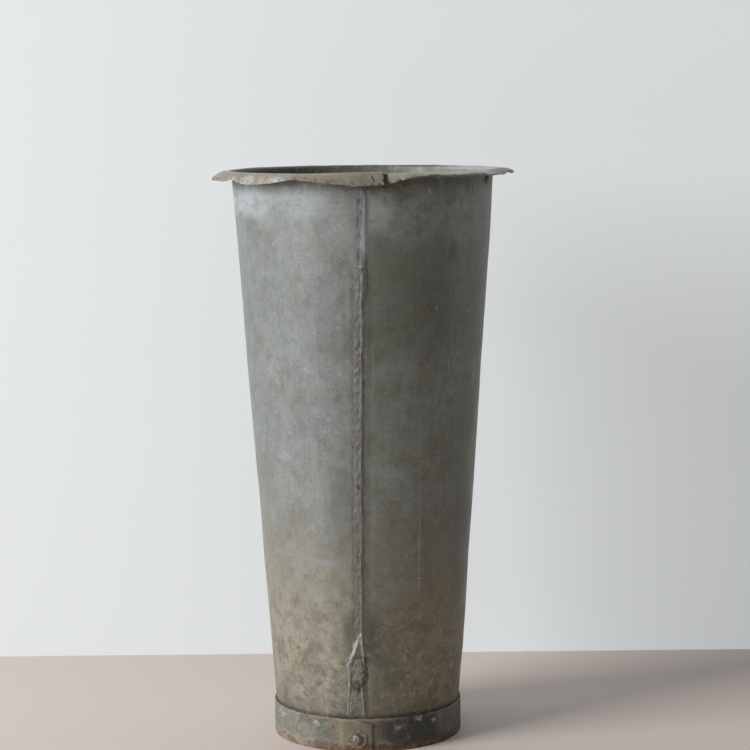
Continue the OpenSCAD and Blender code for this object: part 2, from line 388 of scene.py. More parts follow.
# Ring-like lumps on the rough run: height above the floor, distance across, size, height
RUN_LUMPS = [
    (402, -4.6, 3.4, 0.9), (392, -3.0, 2.4, 0.6), (357, -4.8, 3.6, 1.0), (346, -2.2, 2.6, 0.5),
    (334, -4.2, 3.0, 0.9), (318, -2.6, 2.6, 0.5), (305, -4.9, 3.2, 0.8), (288, -1.8, 2.4, 0.5),
    (272, -4.6, 3.6, 1.0), (255, -2.2, 2.2, 0.5), (236, -3.0, 2.0, -0.9), (222, -4.0, 2.6, 0.6),
    (210, -3.6, 3.4, 0.9), (190, -2.0, 2.4, 0.4), (167, -4.0, 3.4, 0.8), (140, -2.4, 2.6, 0.5),
    (118, -3.4, 2.8, 0.5),
]


def solder_bed(across, z):
    """Radius of the wall under the solder, at a distance across from the lap's edge."""
    degree = 180 / (np.pi * wall_r(z))
    a = across * degree
    under = np.where(across < 0, joggle(360 + a), 0)
    return wall_r(z) + battering(a, z) - under


def solder_strip(name, low, high, columns, rows, left, right, crown):
    """Solder over the lap's edge. left, right and crown give its reach and its height."""
    def shape(column, row, outer):
        z = low + (high - low) * row / rows
        u = column / columns
        across = -left(z) + (left(z) + right(z)) * u
        bed = solder_bed(across, z) + WET_PLAY
        if outer:
            edge = ease(u, 0, 0.30) * ease(u, 1.0, 0.66)
            bed = bed + 0.04 + np.maximum(crown(across, z, u), 0.02) * edge
        degree = 180 / (np.pi * wall_r(z))
        return ring_point(bed, seam_at(z) + across * degree, z)
    return rolled(name, columns, rows, shape)


def make_seam_fillet():
    def crown(across, z, u):
        body = 0.55 * mound(across, 0.4, 4.2)
        bead = 0.42 * mound(across, 2.4 - (z - 455) * 0.02, 2.0) * (0.85 + 0.15 * run_wobble.at(z))
        groove = 0.22 * mound(across, -1.6 + 0.4 * run_wobble.at(z * 0.8), 1.4)
        return body + bead - groove + 0.07 * run_lumps.at(across, z)
    return solder_strip(
        "seam_fillet_wiped", 421.3, 486, 30, 110,
        lambda z: 5.0 + 0.4 * run_wobble.at(z), lambda z: 6.6 + 0.4 * run_edge.at(z), crown)


def run_left(z):
    base = 6.4 + 0.6 * run_wobble.at(z) + 0.65 * run_edge.at(z)
    for middle, across, size, height in RUN_LUMPS:
        if height > 0.7:
            base = base + 0.9 * mound(z, middle, size)
    return base


def run_right(z):
    return 3.2 + 3.0 * ease(z, 385, 410) + 0.4 * run_wobble.at(z + 77) + 0.3 * run_edge.at(z + 31)


def run_crown(across, z, u):
    body = 0.40 + 0.08 * run_wobble.at(z) + 0.02 * across
    line = 0.2 + 0.5 * run_wobble.at(z * 0.5)
    spine = 0.30 * mound(across, line, 0.7) * np.clip(0.8 + 0.7 * run_edge.at(z * 0.35), 0.1, 1.4)
    skin = 0.12 * run_lumps.at(across * 0.9, z) + 0.10 * run_edge.at(across * 2, z)
    lumps = 0.0
    for middle, place, size, height in RUN_LUMPS:
        away = np.hypot(across - place, (z - middle) * 0.95)
        ring = mound(away, size * 0.75, size * 0.3) + 0.3 * mound(away, 0, size * 0.4)
        lumps = lumps + 0.17 * height * ring
    return body + spine + skin + lumps


def spread(z):
    """How far the solder has spread sideways, from none above the pool to all below it."""
    return ease(z, 100, 76)


def pool_left(z):
    return 6.6 + 5.6 * spread(z) + 1.6 * ease(z, 50, 30) + 0.45 * run_edge.at(z)


def pool_right(z):
    return 3.4 + 2.6 * spread(z) + 0.8 * ease(z, 50, 30) + 0.4 * run_edge.at(z + 9)


def pool_crown(across, z, u):
    away = np.hypot((across + 1.4) / 5.9, (z - 69) / 13)
    pool = 0.8 * (1 - ease(away, 0.3, 1.05)) - 0.2 * mound(away, 0.2, 0.35)
    brim = 0.28 * mound(away, 0.9, 0.14)
    moat = 0.3 * mound(away, 1.16, 0.12)
    outward = (101 - z) * 0.22
    legs = 0.45 * mound(across, -2.6 - np.minimum(outward, 7.6), 1.7) * ease(z, 101, 96)
    legs = legs + 0.35 * mound(across, 0.4 + np.minimum(outward * 0.5, 3.6), 1.2) * ease(z, 101, 96)
    skin = 0.16 * run_lumps.at(across, z) + 0.1 * run_edge.at(across * 2, z)
    return 0.45 + pool + brim - moat + legs * (1 - 0.5 * ease(z, 60, 40)) + skin


def make_seam_run():
    upper = solder_strip("seam_run_upper", 101.3, 420.7, 26, 520, run_left, run_right, run_crown)
    lower = solder_strip("seam_run_foot", 30.9, 56.7, 26, 44, pool_left, pool_right, pool_crown)
    deselect()
    lower.select_set(True)
    upper.select_set(True)
    bpy.context.view_layer.objects.active = upper
    bpy.ops.object.join()
    return named("seam_run_lumped")


def make_seam_pool():
    return solder_strip("seam_pool_run_down", 57, 101, 30, 74, pool_left, pool_right, pool_crown)


# ---------------------------------------------------------------- foot hoop
HOOP_INNER = wall_r(HOOP_H) + HOOP_PLAY
HOOP_LIFT = HOOP_T + 0.1
HOOP_LENGTH = 360 + HOOP_END - HOOP_START
HOOP_STATIONS = stretches((0, 20, 0.5), (20, 345, 1.1), (345, 352, 0.7), (352, HOOP_LENGTH, 0.35))
HOOP_ROWS = 28
hoop_dents = Wander(41, 30, 120, 10)
hoop_pits = Wander(42, 1.6, 6, 30)
hoop_foot = Wander(43, 1.5, 12, 20)


def hoop_shape(column, row, outer):
    a = HOOP_STATIONS[column]
    h = row / HOOP_ROWS
    low = 0.35 + 0.35 * hoop_foot.at(a * 1.5)
    high = HOOP_H - 0.25 + 0.2 * hoop_foot.at(a * 0.8 + 50)
    end = ease(a, HOOP_LENGTH - 13, HOOP_LENGTH)
    high = high - 3.4 * end ** 1.4
    z = np.where(h <= 0, 0.0, low + (high - low) * h)
    z = np.where(h <= 0, np.maximum(0.0, low - 0.35), z)
    lift = HOOP_LIFT * ease(a, 360 - HOOP_STEP, 360)
    r = HOOP_INNER + lift + (HOOP_T if outer else 0.0)
    away = ease(z, 0, 3) * ease(z, HOOP_H + 2, HOOP_H - 3)
    along = a * HOOP_DEGREE
    r = r + (0.18 * hoop_dents.at(along, z) + 0.06 * hoop_pits.at(along, z)) * away * outer
    worn = 0.35 * ease(z, 2.5, 0) + 0.25 * ease(z, HOOP_H - 1.2, HOOP_H)
    r = np.where(outer, r - worn, r)
    peel = 2.3 * ease(z, 20, HOOP_H) ** 1.5 * end
    r = r + peel
    return ring_point(r, a + HOOP_START, z)


def make_foot_hoop():
    return rolled("foot_hoop_strip", len(HOOP_STATIONS) - 1, HOOP_ROWS, hoop_shape)


# ---------------------------------------------------------------- base, and the solder inside
def seat_r(z):
    """Radius of the base's skirt, which clears the wall's lap."""
    return wall_r(z) - SHEET_T - LAP_LIFT - BASE_PLAY


base_dents = Wander(51, 18, 70, 14)
base_lumps = Wander(52, 3, 14, 24)
BASE_BEND = 2.2
DISH_RADIUS = 70


def make_base_disc():
    low = BASE_Z - BASE_SKIRT
    rings = list(np.linspace(0, DISH_RADIUS, 29))
    flat_r = seat_r(BASE_Z) - BASE_BEND

    def corner(radius, turns):
        return [
            (flat_r + radius * math.sin(t), BASE_Z - BASE_BEND + radius * math.cos(t))
            for t in np.radians(turns)
        ]
    top = [(r, BASE_Z) for r in rings] + [(flat_r, BASE_Z)]
    bend = corner(BASE_BEND, [20, 40, 60, 80])
    skirt = [(seat_r(z), z) for z in np.linspace(BASE_Z - 2.4, low, 6)]
    back = [(r - BASE_T, z) for r, z in reversed(skirt)]
    inner = corner(BASE_BEND - BASE_T, [80, 60, 40, 20])
    under = [(r, BASE_Z - BASE_T) for r in [flat_r] + rings[::-1]]

    def rough(points):
        r = np.hypot(points[:, 0], points[:, 1])
        flat = 1 - ease(r, 58, 72)
        dish = -0.9 * np.cos(np.pi * np.clip(r / DISH_RADIUS, 0, 1) / 2)
        dish = dish + 0.35 * base_dents.at(points[:, 0], points[:, 1])
        points[:, 2] += flat * (dish - 0.3)
        return points
    return turned("base_disc_dished", top + bend + skirt + back + inner + under, 128, rough)


def make_base_solder():
    def rough(points):
        r = np.hypot(points[:, 0], points[:, 1])
        angle = np.degrees(np.arctan2(points[:, 0], -points[:, 1]))
        side = round_angle(angle - seam_at(BASE_Z))
        lap = ease(side, -LAP_JOGGLE - 5, -LAP_JOGGLE) * (side < 0)
        lap = lap + (side >= 0) * ease(side, LAP_ANGLE + 3, LAP_ANGLE)
        lift = base_lumps.at(angle * 1.35, points[:, 2])
        face = ease(wall_r(points[:, 2]) - r, 1.2, 2.4)
        push = -lap * LAP_LIFT * (1 - face) - 0.35 * lift * face
        points[:, :2] *= ((r + push) / r)[:, None]
        points[:, 2] += 0.4 * np.maximum(lift, -0.6) * face * ease(points[:, 2], BASE_Z, BASE_Z + 1.5)
        return points
    low = BASE_Z + WET_PLAY
    high = BASE_Z + BASE_FILLET
    wall_low = wall_r(low) - SHEET_T - BASE_PLAY
    wall_high = wall_r(high) - SHEET_T - BASE_PLAY
    hollow = [
        (wall_high - 0.4 - 6.2 * (1 - math.cos(t)), high - 4.6 * math.sin(t))
        for t in np.radians(range(10, 91, 16))
    ]
    outline = [(wall_low, low), (wall_high, high)] + hollow + [(wall_low - 7.4, low)]
    return turned("base_solder_run", outline, 180, rough)


def make_hoop_solder():
    def rough(points):
        angle = np.degrees(np.arctan2(points[:, 0], -points[:, 1]))
        high = ease(points[:, 2], HOOP_H - 7, HOOP_H - 3)
        points[:, 2] += high * (0.9 * base_lumps.at(angle * 1.4) - 0.3)
        return points
    top = HOOP_H - 3
    low = top - 6
    outer = HOOP_INNER - 0.1
    outline = [(wall_r(low) + 0.05, low), (outer, low), (outer, top - 1), (outer, top),
               (wall_r(top) + 0.25, top + 0.35), (wall_r(top) + 0.05, top)]
    return turned("hoop_solder_run", outline, 180, rough)


# ---------------------------------------------------------------- rivets
WASHER_T = 0.8
HOOP_RIVET_Z = 11.5
RIM_RIVET_ANGLE = 70.0


def make_rivet(name, head_d, head_h, shank_d, grip, seed):
    """A hand-set rivet facing +Z with the underside of its head at the origin.

    Sizes are the head's width and height, the shank's width, and the length gripped."""
    hammer = Wander(seed, 1.6, 5, 12)
    dome = (head_d ** 2 / 4 + head_h ** 2) / (2 * head_h)
    crown = []
    for k in range(9):
        r = head_d / 2 * k / 8
        crown.append((r, head_h - dome + math.sqrt(dome ** 2 - r ** 2)))
    crown[-1] = (head_d / 2, 0.18)
    shank_r = shank_d / 2
    shank = [(head_d / 2 - 0.1, 0), (shank_r, 0), (shank_r, -grip)]
    tail = [
        (shank_r + 0.8, -grip), (shank_r + 0.7, -grip - 0.5), (shank_r, -grip - 0.7),
        (0, -grip - 0.75),
    ]

    def rough(points):
        r = np.hypot(points[:, 0], points[:, 1])
        head = ease(points[:, 2], 0.05, 0.6)
        blow = hammer.at(points[:, 0], points[:, 1])
        flat = 0.35 * head_h * np.exp(-(r / (0.16 * head_d)) ** 2)
        points[:, 2] += head * (0.16 * blow - 0.45 * flat)
        way = np.arctan2(points[:, 1], points[:, 0])
        lop = 1 + 0.05 * np.sin(2 * way + seed) * (points[:, 2] > -0.05)
        points[:, 0] *= lop
        points[:, 1] /= lop
        return points
    return turned(name, crown + shank + tail, 40, rough)


def make_washer(name, outer_d, hole_d, thick):
    """A hammered washer facing +Z, lying on the origin's plane."""
    outer_r = outer_d / 2
    hole_r = hole_d / 2

    def rough(points):
        angle = np.arctan2(points[:, 1], points[:, 0])
        r = np.hypot(points[:, 0], points[:, 1])
        away = ease(r, hole_r + 1, outer_r)
        lop = 1 + 0.03 * away * np.sin(3 * angle + 1) + 0.015 * away * np.sin(7 * angle)
        points[:, :2] *= lop[:, None]
        points[:, 2] += 0.12 * away * np.sin(2 * angle + 0.6) * (points[:, 2] > 0.1)
        return points
    rim = [
        (outer_r - 0.25, thick), (outer_r, thick - 0.25), (outer_r, 0.1), (outer_r - 0.1, 0),
    ]
    face = [
        (r, thick + 0.12 * math.sin(math.pi * (r - hole_r) / (outer_r - hole_r)))
        for r in np.linspace(hole_r, outer_r - 0.25, 9)
    ]
    return turned(name, face[:-1] + rim + [(hole_r, 0)], 72, rough)


# ---------------------------------------------------------------- materials
class Finish:
    """A material whose nodes are added one after another, with places in millimetres.

    Colours stay vectors all the way: a long chain that turns vectors into colours or plain
    values at each step runs out of room when it is rendered, and the piece comes out black."""

    def __init__(self, name, metallic=0.0, specular=0.5, sheen=0.0):
        self.material = bpy.data.materials.new(name)
        self.material.use_nodes = True
        self.nodes = self.material.node_tree.nodes
        self.links = self.material.node_tree.links
        self.shader = self.nodes["Principled BSDF"]
        self.shader.inputs["Metallic"].default_value = metallic
        self.shader.inputs["Specular IOR Level"].default_value = specular
        self.shader.inputs["Sheen Weight"].default_value = sheen
        self.shader.inputs["Sheen Roughness"].default_value = 0.35
        self.place = self.add("ShaderNodeTexCoord").outputs["Object"]
        in_mm = self.vector("SCALE", self.place, scale=1000)
        x, y, self.z = self.add("ShaderNodeSeparateXYZ", in_mm).outputs
        squares = self.math("ADD", self.times(x, x), self.times(y, y))
        self.radius = self.math("SQRT", squares)
        turn = self.math("ARCTAN2", x, self.math("MULTIPLY", y, -1))
        self.angle = self.math("MULTIPLY", turn, 180 / math.pi)
        lean = self.times(self.math("SUBTRACT", self.z, RIM_HEIGHT), SEAM_LEAN / RIM_HEIGHT)
        self.side = self.math("SUBTRACT", self.angle, lean)
        around = self.times(self.angle, WALL_DEGREE)
        flat = self.add("ShaderNodeCombineXYZ", around, self.z, 0.0)
        self.flat = flat.outputs[0]
        self.wobble = self.noise(5, detail=4, rough=0.6)
        self.colour = (0.2, 0.2, 0.2)
        self.gloss = 0.5
        self.height = 0.0

    def add(self, kind, *inputs, **settings):
        node = self.nodes.new(kind)
        for key, value in settings.items():
            setattr(node, key, value)
        for socket, value in zip(node.inputs, inputs):
            self.join(socket, value)
        return node

    def join(self, socket, value):
        if isinstance(value, bpy.types.NodeSocket):
            self.links.new(value, socket)
        elif value is not None:
            socket.default_value = value

    def math(self, operation, *inputs):
        return self.add("ShaderNodeMath", *inputs, operation=operation).outputs[0]

    def vector(self, operation, *inputs, scale=None):
        node = self.add("ShaderNodeVectorMath", *inputs, operation=operation)
        if scale is not None:
            self.join(node.inputs["Scale"], scale)
        return node.outputs["Value" if operation in ("LENGTH", "DOT_PRODUCT") else "Vector"]

    def noise(self, size, detail=3.0, rough=0.5, stretch=(1, 1, 1), seed=0.0, warp=0.0):
        """Cloudy values about 0.5, with patches of the given size in millimetres."""
        node = self.add("ShaderNodeTexNoise", self.mapped(size, stretch, seed), noise_dimensions="3D")
        node.inputs["Scale"].default_value = 1.0
        node.inputs["Detail"].default_value = detail
        node.inputs["Roughness"].default_value = rough
        node.inputs["Distortion"].default_value = warp
        return node.outputs["Fac"]

    def cells(self, size, seed=0.0):
        """Distance from the middles of scattered cells of the given size in millimetres."""
        node = self.add("ShaderNodeTexVoronoi", self.mapped(size, (1, 1, 1), seed))
        node.inputs["Scale"].default_value = 1.0
        return node.outputs["Distance"]

    def mapped(self, size, stretch, seed):
        """Coordinates in which one unit is a patch of the given size in millimetres."""
        node = self.add("ShaderNodeMapping", self.place)
        node.inputs["Location"].default_value = (seed * 7.3, seed * 3.1, seed * 5.7)
        node.inputs["Scale"].default_value = tuple(1000 / (size * s) for s in stretch)
        return node.outputs["Vector"]

    def span(self, value, low, high, to_low=0.0, to_high=1.0):
        """value between low and high, eased to between to_low and to_high."""
        node = self.add(
            "ShaderNodeMapRange", value, low, high, to_low, to_high,
            interpolation_type="SMOOTHSTEP", clamp=False)
        return node.outputs["Result"]

    def times(self, *values):
        out = values[0]
        for value in values[1:]:
            out = self.math("MULTIPLY", out, value)
        return out

    def gap(self, value, middle):
        """How far a value is from its middle, either way."""
        return self.math("ABSOLUTE", self.math("SUBTRACT", value, middle))

    def swing(self, noise, amount):
        """A noise about zero, times an amount."""
        return self.times(self.math("SUBTRACT", noise, 0.5), amount)

    def most(self, a, b):
        return self.math("MAXIMUM", a, b)

    def flip(self, value):
        return self.math("SUBTRACT", 1.0, value)

    def stroke(self, start, end, half, soft=0.5, wobble=1.0):
        """A mark from one (angle, height) to another, half as wide as given in millimetres."""
        first = Vector((start[0] * WALL_DEGREE, start[1], 0))
        way = Vector((end[0] * WALL_DEGREE, end[1], 0)) - first
        away = self.vector("SUBTRACT", self.flat, tuple(first))
        if way.length > 0.01:
            along = self.vector("DOT_PRODUCT", away, tuple(way / way.length_squared))
            along = self.math("MINIMUM", self.math("MAXIMUM", along, 0.0), 1.0)
            away = self.vector("SUBTRACT", away, self.vector("SCALE", tuple(way), scale=along))
        reach = self.math("DIVIDE", self.vector("LENGTH", away), half)
        ragged = self.math("ADD", reach, self.swing(self.wobble, wobble * 2.4))
        return self.span(ragged, 1 - soft, 1 + soft, 1.0, 0.0)

    def patch(self, start, end, bottom, top, soft_side=6.0, soft_end=12.0):
        """A soft upright patch between two angles and two heights."""
        sides = self.times(
            self.span(self.angle, start - soft_side, start + soft_side),
            self.span(self.angle, end - soft_side, end + soft_side, 1.0, 0.0))
        ends = self.times(
            self.span(self.z, bottom - soft_end, bottom + soft_end),
            self.span(self.z, top - soft_end, top + soft_end, 1.0, 0.0))
        return self.times(sides, ends)

    def tint(self, colour, amount):
        """Lays a colour over what is there."""
        node = self.add("ShaderNodeMix", data_type="VECTOR")
        self.join(node.inputs[0], amount)
        self.join(node.inputs[4], self.colour)
        self.join(node.inputs[5], colour)
        self.colour = node.outputs[1]

    def shade(self, value, low=0.8, high=1.2):
        """Darkens and lightens the colour with a value between 0 and 1."""
        scale = self.add("ShaderNodeMapRange", value, 0.25, 0.75, low, high, clamp=False).outputs[0]
        self.colour = self.vector("SCALE", self.colour, scale=scale)

    def raise_by(self, value, height):
        self.height = self.math("ADD", self.height, self.math("MULTIPLY", value, height))

    def done(self):
        self.join(self.shader.inputs["Base Color"], self.vector("SCALE", self.colour, scale=AGE))
        self.join(self.shader.inputs["Roughness"], self.gloss)
        bump = self.add("ShaderNodeBump")
        bump.inputs["Strength"].default_value = 1.0
        bump.inputs["Distance"].default_value = MM
        self.join(bump.inputs["Height"], self.height)
        self.join(self.shader.inputs["Normal"], bump.outputs["Normal"])
        return self.material


# Old metal is this much darker than the colours below
AGE = 0.7
ZINC = (0.262, 0.271, 0.252)
PALE_ZINC = (0.42, 0.45, 0.46)
OLIVE = (0.135, 0.135, 0.105)
TAN = (0.37, 0.32, 0.245)
WHITE_BLOOM = (0.60, 0.61, 0.60)
BLUE_BLOOM = (0.33, 0.37, 0.40)
RUST_ORANGE = (0.42, 0.17, 0.055)
RUST_BROWN = (0.14, 0.062, 0.032)
RUST_DARK = (0.055, 0.032, 0.022)

# Marks on the wall: from (angle, height), to (angle, height), half width, colour, strength
WALL_MARKS = [
    ((28.6, 291), (29.6, 205), 0.28, WHITE_BLOOM, 0.45),
    ((29.6, 205), (30.3, 138), 0.36, WHITE_BLOOM, 0.85),
    ((28.0, 152), (32.0, 151), 0.6, WHITE_BLOOM, 0.5),
    ((43.3, 346), (46.8, 320), 0.35, WHITE_BLOOM, 0.55),
    ((67.6, 334), (67.8, 318), 3.6, BLUE_BLOOM, 0.6),
    ((24, 190), (24.6, 188), 1.4, BLUE_BLOOM, 0.7),
    ((40.7, 199), (40.7, 198), 1.0, WHITE_BLOOM, 0.7),
    ((58, 381), (58, 380), 0.9, WHITE_BLOOM, 0.6),
    ((35.5, 386), (35.6, 384), 0.8, WHITE_BLOOM, 0.6),
    ((30, 485), (30.4, 483), 1.2, WHITE_BLOOM, 0.5),
    ((8.7, 357), (8.7, 356), 0.9, BLUE_BLOOM, 0.8),
    ((-75, 274), (-64, 278), 0.3, WHITE_BLOOM, 0.4),
    ((-64, 278), (-53, 284), 0.3, WHITE_BLOOM, 0.4),
    ((-50, 295), (-50, 294), 0.9, WHITE_BLOOM, 0.5),
    ((-60, 172), (-34, 170), 1.4, BLUE_BLOOM, 0.45),
    ((-31, 169), (-17, 167), 2.4, BLUE_BLOOM, 0.7),
    ((-46, 249), (-46, 239), 0.6, RUST_ORANGE, 0.65),
    ((-43.3, 235), (-43.1, 216), 0.5, RUST_ORANGE, 0.6),
    ((45.4, 239), (45.5, 212), 0.55, RUST_BROWN, 0.75),
    ((-48.5, 346), (-48.5, 345), 0.8, RUST_ORANGE, 0.7),
    ((-25, 375), (-25, 374), 0.7, RUST_ORANGE, 0.6),
    ((-66, 210), (-66, 196), 0.5, RUST_ORANGE, 0.35),
    ((4, 361), (4.6, 315), 0.35, WHITE_BLOOM, 0.35),
    ((120, 430), (121, 360), 0.4, WHITE_BLOOM, 0.5),
    ((150, 260), (163, 240), 0.35, WHITE_BLOOM, 0.6),
    ((-120, 330), (-112, 300), 0.35, WHITE_BLOOM, 0.6),
    ((-150, 420), (-149, 300), 0.5, RUST_ORANGE, 0.5),
    ((170, 200), (170, 170), 0.6, RUST_BROWN, 0.6),
    ((-95, 120), (-80, 118), 2.0, BLUE_BLOOM, 0.5),
]


def zinc_body(f):
    """The dull patina that the wall and the solder share: clouds, streaks, specks and hues."""
    f.colour = ZINC
    broad = f.noise(95, 3, 0.55, seed=1)
    clouds = f.noise(28, 5, 0.62, seed=2, warp=0.6)
    mottle = f.noise(8.5, 5, 0.68, seed=9, warp=0.4)
    streaks = f.noise(4.0, 5, 0.66, stretch=(1, 1, 9), seed=3)
    grain = f.noise(1.9, 4, 0.74, seed=4)
    fine = f.noise(0.7, 2, 0.6, seed=5)
    # Hues: cold grey to the left of the seam, olive to its right, both in clouds
    cold = f.most(f.patch(-110, -9, 225, 520, 16, 50), f.span(broad, 0.52, 0.66))
    f.tint((0.246, 0.268, 0.272), f.times(cold, f.span(clouds, 0.25, 0.60), 0.8))
    warm = f.patch(0, 100, 130, 520, 5, 60)
    f.tint((0.246, 0.252, 0.190), f.times(warm, f.span(clouds, 0.70, 0.35), 0.75))
    brown = f.patch(48, 110, 60, 400, 14, 60)
    f.tint((0.27, 0.235, 0.185), f.times(brown, f.span(mottle, 0.3, 0.6), 0.45))
    f.tint((0.30, 0.282, 0.195), f.times(f.span(f.noise(5.5, 5, 0.7, seed=14), 0.50, 0.68), 0.28))
    f.tint((0.240, 0.272, 0.286),
           f.times(f.span(f.noise(12, 5, 0.72, seed=15, warp=1.0), 0.52, 0.68), 0.25))
    f.shade(broad, 0.84, 1.16)
    f.shade(clouds, 0.74, 1.26)
    f.shade(mottle, 0.78, 1.22)
    f.shade(streaks, 0.89, 1.11)
    f.shade(grain, 0.82, 1.18)
    f.shade(fine, 0.92, 1.08)
    olive = f.times(f.span(mottle, 0.52, 0.66), f.span(clouds, 0.45, 0.62))
    f.tint(OLIVE, f.times(olive, 0.40))
    bloom = f.times(f.span(f.noise(30, 5, 0.74, seed=6, warp=1.0), 0.54, 0.68), f.span(grain, 0.38, 0.6))
    f.tint(PALE_ZINC, f.times(bloom, 0.45))
    specks = f.span(f.cells(6.5, seed=2), 0.13, 0.07)
    f.tint(WHITE_BLOOM, f.times(specks, f.span(f.noise(22, 2, seed=7), 0.50, 0.60), 0.6))
    pores = f.span(f.cells(4.2, seed=5), 0.19, 0.09)
    f.tint(RUST_DARK, f.times(pores, f.span(f.noise(16, 3, seed=8), 0.48, 0.62), 0.5))
    f.raise_by(clouds, 0.25)
    f.raise_by(mottle, 0.12)
    f.raise_by(grain, 0.08)
    f.raise_by(fine, 0.03)
    f.raise_by(pores, -0.05)
    return clouds, mottle, grain


def wall_dirt(f, clouds, mottle, grain):
    """Tan water dirt that thickens towards the foot, speckled and blotched, with painted shade right of
    the seam and over the hoop, and painted warm bounce light on the shaded side.
    """
    ragged = f.math("ADD", f.z, f.swing(clouds, 150.0))
    low = f.span(ragged, 290, 40)
    lower = f.span(ragged, 205, 50)
    speckle = f.span(f.noise(2.4, 5, 0.75, seed=12), 0.42, 0.60)
    f.tint(TAN, f.times(low, 0.42))
    f.tint(TAN, f.times(lower, f.span(mottle, 0.3, 0.6), 0.55))
    # Painted warm bounce light: a browner tan over the shaded right side, low down, over the dirt
    shaded = f.span(f.angle, -6, 12)
    f.tint((0.34, 0.265, 0.15), f.times(lower, shaded, 0.45))
    gold = f.patch(26, 78, 34, 140, 12, 26)
    f.tint((0.45, 0.35, 0.165), f.times(gold, f.span(clouds, 0.22, 0.6), speckle, 0.75))
    dusty = f.patch(-100, -4, 30, 150, 8, 50)
    f.tint((0.505, 0.465, 0.36), f.times(dusty, f.span(mottle, 0.20, 0.62), 0.55))
    near = f.patch(-30, -10, 36, 92, 6, 20)
    f.tint((0.51, 0.465, 0.365), f.times(near, f.span(clouds, 0.20, 0.6), 0.42))
    blotch = f.times(f.span(f.noise(11, 6, 0.74, seed=11), 0.48, 0.58), lower)
    f.tint((0.155, 0.14, 0.098), f.times(blotch, 0.55))
    patchy = f.span(f.noise(21, 5, 0.62, stretch=(1, 1, 1.6), seed=19, warp=0.8), 0.40, 0.62)
    f.tint((0.165, 0.16, 0.12), f.times(patchy, lower, 0.45))
    f.tint((0.07, 0.058, 0.04), f.times(f.span(f.noise(1.9, 3, 0.75, seed=16), 0.54, 0.66), lower, 0.4))
    f.tint((0.06, 0.05, 0.035), f.times(f.span(f.noise(4.0, 5, 0.75, seed=17), 0.56, 0.66), lower, 0.6))
    f.tint((0.50, 0.46, 0.36), f.times(f.span(f.noise(6.5, 5, 0.72, seed=18), 0.51, 0.66), lower, 0.6))
    # Painted shade: darker olive just right of the seam, low down
    dark = f.patch(3, 20, 40, 118, 6, 18)
    f.tint(OLIVE, f.times(dark, f.span(mottle, 0.30, 0.58), 0.5))
    foot = f.span(f.z, 52, 31)
    f.tint((0.16, 0.135, 0.095), f.times(foot, f.span(mottle, 0.32, 0.55), 0.6))
    # Painted shadow: a dark line on the wall just above the hoop's top edge
    painted_shadow_over_hoop = f.span(f.gap(f.z, 30.5), 3.2, 0.4)
    f.tint(RUST_DARK, f.times(painted_shadow_over_hoop, f.span(grain, 0.3, 0.6), 0.8))


